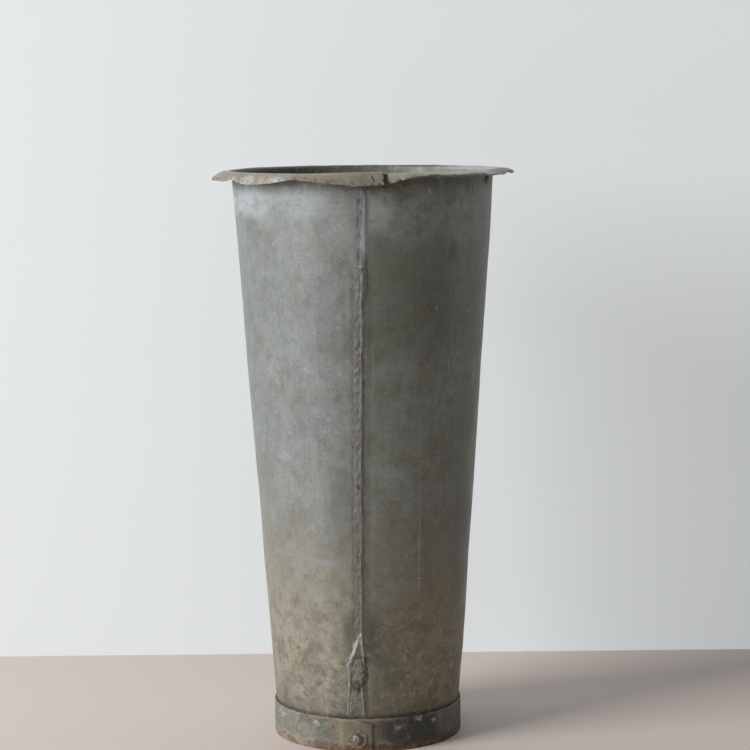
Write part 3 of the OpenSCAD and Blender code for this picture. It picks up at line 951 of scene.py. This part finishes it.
def weathered_zinc():
    """Outside of the wall and the top of its lip."""
    f = Finish("weathered_zinc", metallic=0.35, specular=0.45, sheen=0.06)
    clouds, mottle, grain = zinc_body(f)
    wall_dirt(f, clouds, mottle, grain)
    # Bluish bloom under the lip, the smoky patches beside the seam, and painted shade right of the seam,
    # on the right flank and under the lip
    wiped = f.noise(14, 4, 0.6, stretch=(1, 1, 0.5), seed=20)
    band = f.patch(-100, -6, 462, 485, 8, 9)
    f.tint((0.42, 0.46, 0.49), f.times(band, f.span(wiped, 0.28, 0.68), 0.5))
    bright = f.patch(-100, -48, 464, 484, 9, 7)
    f.tint((0.54, 0.60, 0.62), f.times(bright, f.span(wiped, 0.22, 0.60), 0.6))
    pale = f.patch(1, 13, 452, 482, 3, 9)
    f.tint((0.48, 0.50, 0.48), f.times(pale, f.span(mottle, 0.2, 0.56), 0.8))
    smoke = f.patch(10, 62, 440, 478, 6, 8)
    f.tint(PALE_ZINC, f.times(smoke, f.span(mottle, 0.3, 0.62), 0.42))
    # Painted shade: darker olive right of the seam, where the creased wall turns from the light
    shade = f.patch(2, 44, 350, 452, 6, 22)
    f.tint(OLIVE, f.times(shade, f.span(clouds, 0.28, 0.58), 0.42))
    # Painted shade: the right flank darkened, where it turns from the window
    far = f.patch(54, 86, 110, 440, 9, 50)
    f.tint((0.105, 0.105, 0.085), f.times(far, f.span(clouds, 0.15, 0.55), 0.42))
    # Painted shadow: a dark olive band on the wall just under the lip
    high = f.span(f.z, 483, 492)
    under = f.times(high, f.span(f.noise(6, 5, 0.7, seed=21), 0.32, 0.55))
    f.tint(OLIVE, f.times(under, 0.75))
    # Stain and halo round the solder's foot, and darker lines along both edges of the solder
    halo = f.most(f.patch(-13, -4, 92, 122, 3, 14), f.patch(-2, 7, 78, 122, 3, 14))
    f.tint((0.085, 0.088, 0.070), f.times(halo, f.span(mottle, 0.24, 0.52), 0.68))
    ragged = f.swing(f.wobble, 5.0)
    wavy = f.math("ADD", f.side, ragged)
    left_edge = f.span(f.gap(wavy, -4.2), 1.5, 0.2)
    right_edge = f.span(f.gap(wavy, 3.2), 2.4, 0.4)
    beside = f.times(f.most(left_edge, right_edge), f.span(f.z, 96, 120), f.span(f.z, 428, 415))
    f.tint((0.105, 0.105, 0.085), f.times(beside, f.span(grain, 0.28, 0.60), 0.48))
    smudge = f.patch(-21, -4, 198, 262, 7, 18)
    f.tint((0.11, 0.115, 0.10), f.times(smudge, f.span(mottle, 0.30, 0.62), 0.45))
    rim_rust = f.patch(-9, 19, 484, 495, 4, 4)
    f.tint((0.13, 0.08, 0.05), f.times(rim_rust, f.span(f.noise(1.7, 5, 0.78, seed=22), 0.46, 0.60), 0.8))
    for angle, height, size in ((52, 488, 2.0), (56.5, 487, 1.5), (80, 488, 2.0)):
        spot = f.stroke((angle, height), (angle + 0.6, height - 4), size, 0.6, 1.8)
        f.tint((0.17, 0.10, 0.065), f.times(spot, f.span(grain, 0.30, 0.6), 0.6))
        f.raise_by(spot, 0.3)
    for start, end, half, colour, strength in WALL_MARKS:
        mark = f.stroke(start, end, half, 0.6, 1.5)
        worn = f.span(f.wobble, 0.32, 0.56)
        f.tint(colour, f.times(mark, worn, strength))
    lip(f, grain)
    f.gloss = f.span(clouds, 0.2, 0.8, 0.42, 0.62)
    return f.done()


def lip(f, grain):
    """Bruised brown lip with whitish scuffs, a pale crease, rust at its torn edge, and painted shade in
    the slit.
    """
    proud = f.math("SUBTRACT", f.radius, f.math("ADD", f.math("MULTIPLY", f.z, TAPER), FLOOR_RADIUS))
    on_lip = f.times(f.span(proud, 1.6, 3.4), f.span(f.z, 470, 478))
    left = f.span(f.angle, 12, 7)
    cloud = f.noise(10, 5, 0.68, seed=31, warp=0.5)
    small = f.noise(2.6, 5, 0.75, seed=34)
    f.tint((0.40, 0.375, 0.31), f.times(on_lip, 0.85))
    f.tint((0.42, 0.36, 0.275), f.times(on_lip, left, f.span(cloud, 0.30, 0.56), 0.9))
    f.tint((0.50, 0.49, 0.44), f.times(on_lip, f.flip(left), f.span(cloud, 0.26, 0.56), 0.6))
    crest = f.times(f.span(f.z, 494, 498), f.span(f.angle, 24, 40), f.span(f.angle, 150, 120))
    f.tint((0.66, 0.66, 0.61), f.times(crest, f.span(cloud, 0.2, 0.5), 0.7))
    f.tint((0.15, 0.125, 0.09), f.times(on_lip, f.span(f.angle, 57, 68), f.span(f.angle, 112, 96), 0.65))
    f.tint((0.58, 0.58, 0.56), f.times(on_lip, f.span(f.noise(9, 5, 0.7, seed=32), 0.55, 0.68), 0.6))
    for start, end, half in LIP_SCUFFS:
        f.tint((0.68, 0.68, 0.66), f.times(on_lip, f.stroke(start, end, half, 0.8, 2.2), 0.8))
    f.tint((0.13, 0.095, 0.06), f.times(on_lip, f.span(small, 0.54, 0.68), 0.6))
    umber = f.times(on_lip, f.span(f.angle, -24, 4), left)
    f.tint((0.20, 0.165, 0.11), f.times(umber, f.span(cloud, 0.35, 0.6), 0.3))
    edge = f.span(proud, 12.5, 16.5)
    f.tint(RUST_BROWN, f.times(on_lip, edge, f.span(f.noise(4, 4, 0.7, seed=33), 0.45, 0.62), 0.65))
    # Dark rust in the slit between the lip's ends, deepened with painted shade in the gap
    slit = f.times(f.span(f.gap(f.angle, 9.4), 1.5, 0.5), f.span(f.z, 486, 490))
    f.tint((0.09, 0.04, 0.02), f.times(slit, 0.85))
    for start, end, half in LIP_CRACKS:
        f.tint((0.06, 0.04, 0.028), f.times(on_lip, f.stroke(start, end, half, 0.7, 1.6), 0.9))
    crease = f.times(f.span(f.gap(proud, 3.2), 1.2, 0.2), f.span(f.z, 494, 497))
    f.tint((0.60, 0.60, 0.57), f.times(crease, f.span(grain, 0.35, 0.55), 0.6))
    f.raise_by(f.times(on_lip, cloud), 0.8)
    f.raise_by(f.times(on_lip, small), 0.25)


# Whitish scuffs on the lip: from (angle, height), to (angle, height), half width
LIP_SCUFFS = [
    ((-50, 492), (-44, 489), 5.0), ((-60, 492), (-57, 490), 3.6), ((-36, 494), (-28, 492), 3.6),
]

# Small cracks in the lip beside its torn end, in the same way
LIP_CRACKS = [
    ((4.0, 498), (4.6, 494), 0.5), ((4.6, 494), (3.6, 491), 0.45), ((3.6, 491), (5.0, 488), 0.5),
    ((1.4, 489), (3.4, 486.5), 0.5), ((6.4, 492), (7.6, 490), 0.4),
]


# Tide marks inside: height, width, strength
TIDE_MARKS = [
    (392, 3.0, 0.45), (330, 2.0, 0.3), (255, 4.0, 0.4), (205, 2.4, 0.5), (120, 3.0, 0.45),
]


def stained_inside():
    """Inside of the wall: dull dark zinc with tide marks and white bloom, and painted light and shade
    high on its back.
    """
    f = Finish("stained_inside", metallic=0.3, specular=0.35)
    clouds = f.noise(22, 5, 0.65, seed=42, warp=0.8)
    streaks = f.noise(6, 4, 0.6, stretch=(1, 1, 12), seed=43)
    grain = f.noise(1.5, 4, 0.7, seed=44)
    f.colour = (0.140, 0.142, 0.105)
    f.shade(clouds, 0.72, 1.28)
    f.shade(streaks, 0.84, 1.16)
    f.shade(grain, 0.88, 1.12)
    ragged = f.math("ADD", f.z, f.swing(clouds, 40.0))
    f.tint((0.24, 0.20, 0.14), f.times(f.span(ragged, 190, 120), 0.6))
    f.tint(RUST_BROWN, f.times(f.span(ragged, 70, 30), f.span(streaks, 0.4, 0.6), 0.6))
    for height, width, strength in TIDE_MARKS:
        tide = f.span(f.gap(ragged, height), width, width * 0.25)
        f.tint((0.42, 0.42, 0.38), f.times(tide, f.span(grain, 0.35, 0.65), strength))
    bloom = f.times(f.span(f.noise(15, 5, 0.7, seed=45), 0.55, 0.68), f.span(f.z, 300, 460))
    f.tint((0.36, 0.38, 0.37), f.times(bloom, 0.5))
    # Painted light: the far inner wall lit by the window, high up
    painted_light_inside = f.patch(84, 158, 380, 505, 22, 30)
    f.tint((0.50, 0.50, 0.45), f.times(painted_light_inside, f.span(clouds, 0.2, 0.55), 0.7))
    # Painted shade: the other side of the far inner wall, high up
    painted_shade_inside = f.patch(-158, -122, 380, 505, 12, 30)
    f.tint((0.07, 0.07, 0.055), f.times(painted_shade_inside, f.span(clouds, 0.25, 0.6), 0.6))
    seam = f.patch(2, 17, 20, 496, 1.2, 4)
    f.tint((0.33, 0.31, 0.26), f.times(seam, f.span(streaks, 0.3, 0.6), 0.4))
    lip(f, grain)
    f.gloss = f.span(clouds, 0.2, 0.8, 0.5, 0.75)
    f.raise_by(clouds, 0.3)
    f.raise_by(grain, 0.08)
    return f.done()


# Bright bruised streaks where the solder splays and runs down: from, to, half width, strength
SPLAY = [
    ((-3.9, 104), (-8.2, 88), 0.9, 0.9), ((-4.6, 100), (-10.2, 83), 0.8, 0.95),
    ((-5.2, 101), (-11.0, 88), 0.6, 0.75), ((-6.4, 92), (-11.6, 76), 0.8, 0.85),
    ((-3.2, 106), (-2.2, 86), 0.7, 0.85), ((-2.4, 84), (-1.2, 74), 0.5, 0.45),
    ((-11.2, 80), (-11.0, 60), 0.8, 0.6), ((-11.2, 60), (-12.2, 33), 0.9, 0.55),
    ((-9.2, 56), (-10.4, 36), 0.5, 0.45), ((-3.0, 57), (-2.4, 33), 0.8, 0.6),
    ((-6.8, 52), (-8.2, 40), 0.5, 0.35), ((-5.0, 48), (-4.4, 34), 0.5, 0.3),
]


# Stretches of painted highlight along the spine of the run, over the lap's edge: from height, to height,
# strength
PAINTED_SPINE_HIGHLIGHTS = [
    (352, 386, 0.8), (296, 330, 0.45), (180, 205, 0.5), (97, 150, 0.75), (395, 418, 0.5),
]


def seam_solder():
    """Solder down the seam: the wall's patina, with bright bruised ridges, dark nicks, and painted
    highlights and painted light along the lap's edge.
    """
    f = Finish("seam_solder", metallic=0.35, specular=0.5)
    clouds, mottle, grain = zinc_body(f)
    wall_dirt(f, clouds, mottle, grain)
    blot = f.noise(3.0, 5, 0.74, seed=51, warp=0.5)
    f.tint((0.17, 0.16, 0.135), f.times(f.span(mottle, 0.2, 0.5), 0.75))
    f.tint((0.30, 0.29, 0.265), f.times(f.span(blot, 0.52, 0.64), 0.4))
    band = f.times(f.span(f.side, 0.7, 1.6), f.span(f.z, 428, 420))
    f.tint((0.15, 0.14, 0.11), f.times(band, f.span(grain, 0.2, 0.5), 0.45))
    rim = f.most(f.span(f.side, -3.0, -3.9), f.span(f.side, 1.9, 3.2))
    rim = f.times(rim, f.span(f.z, 428, 420), f.span(f.z, 96, 108))
    f.tint((0.10, 0.098, 0.08), f.times(rim, f.span(grain, 0.25, 0.55), 0.6))
    f.tint((0.09, 0.09, 0.085), f.times(f.span(f.noise(3.6, 5, 0.72, seed=52), 0.54, 0.66), 0.6))
    upper = f.span(f.z, 424, 430)
    f.tint(ZINC, f.times(upper, 0.7))
    frayed = f.swing(blot, 2.2)
    # A dark bluish line on the fillet just left of the seam's edge, with darker blots in it
    bluish_line = f.math("ADD", f.gap(f.side, -0.9), frayed)
    bluish_line = f.times(upper, f.span(bluish_line, 1.9, 0.7), f.span(f.z, 487, 478))
    f.tint((0.18, 0.195, 0.22), f.times(bluish_line, 0.65))
    blots = f.span(f.noise(5.5, 4, 0.62, stretch=(1, 1, 1.8), seed=53), 0.42, 0.60)
    f.tint((0.06, 0.068, 0.09), f.times(bluish_line, blots, 0.8))
    # Painted highlight: a bright line on the fillet along the lap's edge, where the sheet's cut edge
    # catches the light
    half = f.span(f.z, 492, 432, 0.35, 1.15)
    bright = f.math("ADD", f.gap(f.side, 1.25), f.math("MULTIPLY", frayed, 0.5))
    bright = f.times(upper, f.span(f.math("DIVIDE", bright, half), 1.9, 0.2))
    bright = f.times(bright, f.span(f.z, 487, 478), f.span(f.z, 428, 440))
    f.tint((0.56, 0.58, 0.61), f.times(bright, f.span(blot, 0.26, 0.5), 0.75))
    # Painted light: a paler band just right of the painted highlight, where the bulging sheet meets the
    # light
    painted_light_flank = f.times(upper, f.span(f.side, 1.6, 2.8), f.span(f.z, 440, 456))
    f.tint((0.42, 0.44, 0.42), f.times(painted_light_flank, f.span(mottle, 0.2, 0.56), 0.65))
    step = f.span(f.gap(f.z, 422.5), 2.2, 0.6)
    f.tint((0.34, 0.31, 0.25), f.times(step, f.span(blot, 0.38, 0.58), 0.7))
    # Painted highlight along the run's spine, over the lap's edge
    for low, high, strength in PAINTED_SPINE_HIGHLIGHTS:
        run = f.times(f.span(f.z, low - 4, low + 4), f.span(f.z, high + 4, high - 4))
        line = f.span(f.gap(f.side, 0.35), 0.7, 0.1)
        f.tint((0.50, 0.50, 0.47), f.times(run, line, f.span(blot, 0.36, 0.56), strength))
    nick = f.stroke((-3.4, 236.5), (-3.2, 234), 1.4, 0.7, 2.0)
    f.tint(RUST_DARK, f.times(nick, 0.75))
    pool = f.stroke((-4.9, 75), (-4.9, 66), 5.2, 0.6, 1.2)
    f.tint((0.27, 0.25, 0.20), f.times(pool, f.span(mottle, 0.2, 0.55), 0.6))
    moat = f.stroke((-4.2, 77), (-4.4, 64), 7.8, 0.5, 1.4)
    ring = f.times(moat, f.flip(f.stroke((-5.1, 76), (-4.9, 66), 5.4, 0.5, 1.4)))
    f.tint((0.055, 0.054, 0.046), f.times(ring, f.span(f.angle, -11, -4, 0.5, 1.0)))
    for start, end, half, strength in SPLAY:
        streak = f.stroke(start, end, half, 0.8, 1.8)
        f.tint((0.58, 0.57, 0.54), f.times(streak, f.span(grain, 0.26, 0.54), strength))
    for start, end, half in (((-2.2, 58), (-0.9, 33), 0.7), ((-8.2, 84), (-10.2, 44), 0.6)):
        f.tint((0.06, 0.055, 0.045), f.times(f.stroke(start, end, half, 0.8, 2.0), 0.65))
    f.gloss = f.span(blot, 0.3, 0.7, 0.42, 0.62)
    crumple = f.noise(1.5, 4, 0.72, stretch=(1, 1, 1.6), seed=54, warp=0.8)
    f.tint((0.085, 0.08, 0.066), f.times(f.span(crumple, 0.44, 0.34), f.span(f.z, 430, 420), 0.55))
    f.raise_by(blot, 0.5)
    f.raise_by(crumple, 0.32)
    return f.done()


def inner_solder():
    """Solder round the base and behind the hoop: dull lead grey with dirt in it."""
    f = Finish("inner_solder", metallic=0.5, specular=0.5)
    f.colour = (0.30, 0.30, 0.28)
    blot = f.noise(9, 5, 0.65, seed=61, warp=0.5)
    grain = f.noise(1.4, 4, 0.7, seed=62)
    f.shade(blot, 0.75, 1.25)
    f.shade(grain, 0.9, 1.1)
    f.tint((0.18, 0.13, 0.08), f.times(f.span(f.noise(16, 4, 0.6, seed=63), 0.45, 0.62), 0.7))
    f.tint(WHITE_BLOOM, f.times(f.span(f.noise(6, 4, 0.7, seed=64), 0.60, 0.70), 0.5))
    f.gloss = f.span(blot, 0.3, 0.7, 0.35, 0.6)
    f.raise_by(blot, 0.5)
    f.raise_by(grain, 0.1)
    return f.done()


# Scuffs on the hoop: angle, height, half width
HOOP_SCUFFS = [
    (-70, 22, 2.4), (-64, 23, 1.6), (31, 25.5, 1.7), (17, 21, 0.9), (43, 22, 1.0), (-33, 24, 1.0),
    (110, 20, 2.4), (160, 23, 1.8), (-130, 21, 2.4), (-100, 17, 1.4),
]


def worn_hoop():
    """Foot hoop: dark grey with pale scuffs, brown by the lap, rusted through at the floor."""
    f = Finish("worn_hoop_iron", metallic=0.3, specular=0.45)
    clouds = f.noise(13, 5, 0.62, seed=71, warp=0.7)
    grain = f.noise(1.5, 4, 0.7, seed=72)
    broad = f.noise(45, 3, 0.5, seed=73)
    f.colour = (0.185, 0.178, 0.142)
    f.shade(broad, 0.75, 1.25)
    f.shade(clouds, 0.74, 1.26)
    f.shade(grain, 0.88, 1.12)
    f.tint((0.30, 0.30, 0.25), f.times(f.span(f.noise(18, 5, 0.7, seed=74, warp=1.0), 0.50, 0.64), 0.5))
    f.tint((0.43, 0.41, 0.36), f.times(f.patch(-95, -36, -10, 40, 8, 2), f.span(clouds, 0.28, 0.6), 0.42))
    f.tint((0.055, 0.053, 0.045), f.times(f.patch(1, 46, -10, 40, 4, 2), f.span(clouds, 0.74, 0.46), 0.8))
    f.tint((0.40, 0.41, 0.40), f.times(f.span(f.noise(5, 4, 0.74, seed=75), 0.60, 0.70), 0.6))
    f.tint((0.30, 0.235, 0.16), f.times(f.patch(-22, 8, -10, 40, 6, 2), f.span(grain, 0.25, 0.6), 0.75))
    for angle, height, half in HOOP_SCUFFS:
        scuff = f.stroke((angle, height), (angle + 2.4, height - 0.6), half * 1.2, 0.9, 3.4)
        f.tint((0.60, 0.61, 0.60), f.times(scuff, f.span(grain, 0.30, 0.56), 0.75))
    ragged = f.math("ADD", f.z, f.swing(f.noise(9, 5, 0.7, seed=76), 15.0))
    rusty = f.noise(5, 5, 0.7, seed=77, warp=0.6)
    f.tint((0.12, 0.065, 0.04), f.times(f.span(ragged, 8.5, 5), 0.85))
    f.tint((0.27, 0.15, 0.09), f.times(f.span(ragged, 6.5, 2), f.span(rusty, 0.36, 0.58), 0.85))
    f.tint((0.42, 0.25, 0.15), f.times(f.span(ragged, 5, 1), f.span(rusty, 0.52, 0.66), 0.7))
    chalky = f.times(f.patch(-95, -36, -10, 9, 8, 3), f.span(rusty, 0.34, 0.58))
    f.tint((0.48, 0.39, 0.31), f.times(chalky, 0.6))
    pits = f.span(f.noise(3.2, 4, 0.7, seed=78), 0.58, 0.68)
    f.tint(RUST_DARK, f.times(pits, f.span(ragged, 16, 6), 0.8))
    f.tint(RUST_BROWN, f.times(f.span(f.noise(7, 4, 0.7, seed=79), 0.60, 0.68), 0.7))
    step = f.span(f.gap(f.angle, -14.0), 1.1, 0.3)
    f.tint((0.22, 0.13, 0.075), f.times(step, f.span(grain, 0.36, 0.6), 0.5))
    top = f.span(f.z, 26.5, 28.6)
    f.tint((0.34, 0.33, 0.29), f.times(top, f.span(clouds, 0.3, 0.6), 0.55))
    f.gloss = f.span(clouds, 0.2, 0.8, 0.45, 0.75)
    f.raise_by(clouds, 0.4)
    f.raise_by(grain, 0.12)
    f.raise_by(f.times(rusty, f.span(ragged, 10, 4)), 0.9)
    return f.done()


def rivet_iron():
    """Rivets and washer: brown iron, worn pale in patches."""
    f = Finish("brown_iron", metallic=0.35, specular=0.45)
    clouds = f.noise(3.5, 5, 0.65, seed=81)
    grain = f.noise(0.9, 4, 0.7, seed=82)
    f.colour = (0.25, 0.205, 0.155)
    f.shade(clouds, 0.7, 1.3)
    f.shade(grain, 0.88, 1.12)
    f.tint(RUST_BROWN, f.times(f.span(f.noise(3, 4, 0.7, seed=83), 0.50, 0.62), 0.7))
    f.tint((0.48, 0.45, 0.40), f.times(f.span(f.noise(4, 4, 0.7, seed=84), 0.52, 0.64), 0.6))
    f.tint(RUST_ORANGE, f.times(f.span(f.z, 7.5, 4), f.span(grain, 0.35, 0.6), 0.6))
    f.gloss = f.span(clouds, 0.2, 0.8, 0.4, 0.7)
    f.raise_by(clouds, 0.35)
    f.raise_by(grain, 0.08)
    return f.done()


def base_metal():
    """Base disc: dark worn zinc, water-stained above and rusty below."""
    f = Finish("base_zinc", metallic=0.3, specular=0.4)
    clouds = f.noise(19, 5, 0.65, seed=91, warp=0.8)
    grain = f.noise(1.5, 4, 0.7, seed=92)
    f.colour = (0.17, 0.165, 0.14)
    f.shade(clouds, 0.72, 1.28)
    f.shade(grain, 0.88, 1.12)
    ragged = f.math("ADD", f.radius, f.swing(clouds, 30.0))
    f.tint((0.25, 0.20, 0.13), f.times(f.span(ragged, 30, 62), 0.6))
    for ring in (24, 41, 57):
        tide = f.span(f.gap(ragged, ring), 2.2, 0.4)
        f.tint((0.40, 0.39, 0.35), f.times(tide, f.span(grain, 0.35, 0.62), 0.4))
    f.tint(RUST_BROWN, f.times(f.span(f.noise(12, 5, 0.7, seed=93), 0.50, 0.62), 0.75))
    f.tint(RUST_ORANGE, f.times(f.span(f.noise(7, 5, 0.7, seed=94), 0.58, 0.68), 0.6))
    f.gloss = f.span(clouds, 0.2, 0.8, 0.5, 0.8)
    f.raise_by(clouds, 0.4)
    f.raise_by(grain, 0.1)
    return f.done()


# ---------------------------------------------------------------- the bucket
def give(piece, *materials):
    piece.data.materials.clear()
    for material in materials:
        piece.data.materials.append(material)
    if len(materials) == 1:
        piece.data.polygons.foreach_set("material_index", [0] * len(piece.data.polygons))


def fit(piece, node):
    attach(piece, "root")
    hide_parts(node)


def build_bucket():
    zinc = weathered_zinc()
    inside = stained_inside()
    seam = seam_solder()
    hidden_solder = inner_solder()
    iron = rivet_iron()

    wall = make_wall_sheet()
    give(wall, zinc, inside)
    fit(wall, "wall_sheet")

    for make, node in (
        (make_seam_fillet, "seam_fillet"),
        (make_seam_run, "seam_solder_run"),
        (make_seam_pool, "seam_solder_pool"),
    ):
        piece = make()
        give(piece, seam)
        fit(piece, node)

    hoop = make_foot_hoop()
    give(hoop, worn_hoop())
    fit(hoop, "foot_hoop")

    disc = make_base_disc()
    give(disc, base_metal())
    fit(disc, "base_disc")
    for make, node in ((make_base_solder, "base_solder"), (make_hoop_solder, "hoop_solder")):
        piece = make()
        give(piece, hidden_solder)
        fit(piece, node)

    hoop_face = HOOP_INNER + HOOP_LIFT + HOOP_T
    hoop_angle = (HOOP_START + HOOP_END) / 2 - 0.6
    washer = make_washer("hoop_washer_dished", 16.5, 4.9, WASHER_T)
    stood_out(washer, hoop_face, hoop_angle, HOOP_RIVET_Z)
    give(washer, iron)
    fit(washer, "hoop_rivet_washer")
    seat = hoop_face + WASHER_T
    rivet = make_rivet("hoop_rivet_hammered", 10, 3.2, 4.8, seat - HOOP_INNER + 0.1, 7)
    stood_out(rivet, seat, hoop_angle, HOOP_RIVET_Z)
    give(rivet, iron)
    fit(rivet, "hoop_rivet")
    rivet_z = RIM_HEIGHT - 9.5
    rivet_r = wall_r(rivet_z) + float(battering(np.array([RIM_RIVET_ANGLE]), np.array([rivet_z]))[0])
    rivet = make_rivet("rim_rivet_hammered", 8.5, 2.4, 4, SHEET_T + 0.05, 9)
    stood_out(rivet, rivet_r, RIM_RIVET_ANGLE, rivet_z, math.degrees(math.atan(TAPER)))
    give(rivet, iron)
    fit(rivet, "rim_rivet")


# ---------------------------------------------------------------- room, light and camera
def plain(name, colour, roughness):
    material = bpy.data.materials.new(name)
    material.use_nodes = True
    shader = material.node_tree.nodes["Principled BSDF"]
    shader.inputs["Base Color"].default_value = (*colour, 1)
    shader.inputs["Roughness"].default_value = roughness
    shader.inputs["Specular IOR Level"].default_value = 0.2
    return material


def one_sided(material):
    """Clear when seen from its back, so that the backdrop doesn't hide the bucket from behind."""
    tree = material.node_tree
    either = tree.nodes.new("ShaderNodeMixShader")
    facing = tree.nodes.new("ShaderNodeNewGeometry")
    clear = tree.nodes.new("ShaderNodeBsdfTransparent")
    tree.links.new(facing.outputs["Backfacing"], either.inputs[0])
    tree.links.new(tree.nodes["Principled BSDF"].outputs["BSDF"], either.inputs[1])
    tree.links.new(clear.outputs["BSDF"], either.inputs[2])
    tree.links.new(either.outputs["Shader"], tree.nodes["Material Output"].inputs["Surface"])


ROOM_SIZE = 8
BACKDROP_Y = 0.277


def build_room():
    deselect()
    bpy.ops.mesh.primitive_plane_add(size=ROOM_SIZE, location=(0, 0, 0))
    floor = named("floor")
    give(floor, plain("floor_paint", (0.62, 0.535, 0.49), 0.6))
    deselect()
    bpy.ops.mesh.primitive_plane_add(
        size=ROOM_SIZE, location=(0, BACKDROP_Y, 0), rotation=(math.pi / 2, 0, 0))
    backdrop = named("backdrop")
    paint = plain("backdrop_paint", (0.40, 0.411, 0.42), 0.9)
    glow = paint.node_tree.nodes["Principled BSDF"].inputs
    glow["Emission Color"].default_value = (0.955, 0.99, 1.0, 1)
    glow["Emission Strength"].default_value = 0.36
    one_sided(paint)
    give(backdrop, paint)


def lamp(name, place, target, wide, high, power, colour):
    """A flat lamp at a place, turned to a target: metres, watts."""
    data = bpy.data.lights.new(name, "AREA")
    data.shape = "RECTANGLE"
    data.size = wide
    data.size_y = high
    data.energy = power
    data.color = colour
    light = bpy.data.objects.new(name, data)
    bpy.context.collection.objects.link(light)
    light.location = place
    light.rotation_euler = (Vector(target) - Vector(place)).to_track_quat("-Z", "Y").to_euler()


def build_light():
    lamp("window", (-3.3, -1.85, 1.75), (0, 0, 0.3), 1.9, 2.4, 200, (0.98, 1.0, 1.0))
    lamp("room_fill", (0.1, -3.0, 1.5), (0, 0, 0.22), 2.0, 1.6, 8, (1.0, 0.98, 0.92))
    lamp("side_glow", (-0.88, 0.18, 0.16), (0, 0, 0.2), 0.2, 0.7, 0.7, (1.0, 0.985, 0.96))
    world = bpy.data.worlds.new("studio")
    world.use_nodes = True
    world.node_tree.nodes["Background"].inputs["Color"].default_value = (0.80, 0.86, 0.92, 1)
    world.node_tree.nodes["Background"].inputs["Strength"].default_value = 0.17
    bpy.context.scene.world = world
    bpy.context.scene.view_settings.view_transform = "Standard"


CAMERA_PLACE = (0.0094, -2.033, 0.5634)
CAMERA_LENS = 111.2
LOOKING_DOWN = 6.87
CAMERA_ROLL = -0.57


def build_camera():
    data = bpy.data.cameras.new("camera")
    data.lens = CAMERA_LENS
    data.sensor_width = 36
    camera = bpy.data.objects.new("camera", data)
    bpy.context.collection.objects.link(camera)
    tilt = Matrix.Rotation(math.radians(90 - LOOKING_DOWN), 4, "X")
    roll = Matrix.Rotation(math.radians(CAMERA_ROLL), 4, "Z")
    camera.matrix_world = Matrix.Translation(CAMERA_PLACE) @ tilt @ roll
    bpy.context.scene.camera = camera


build_camera()
build_room()
build_light()
build_bucket()
deselect()
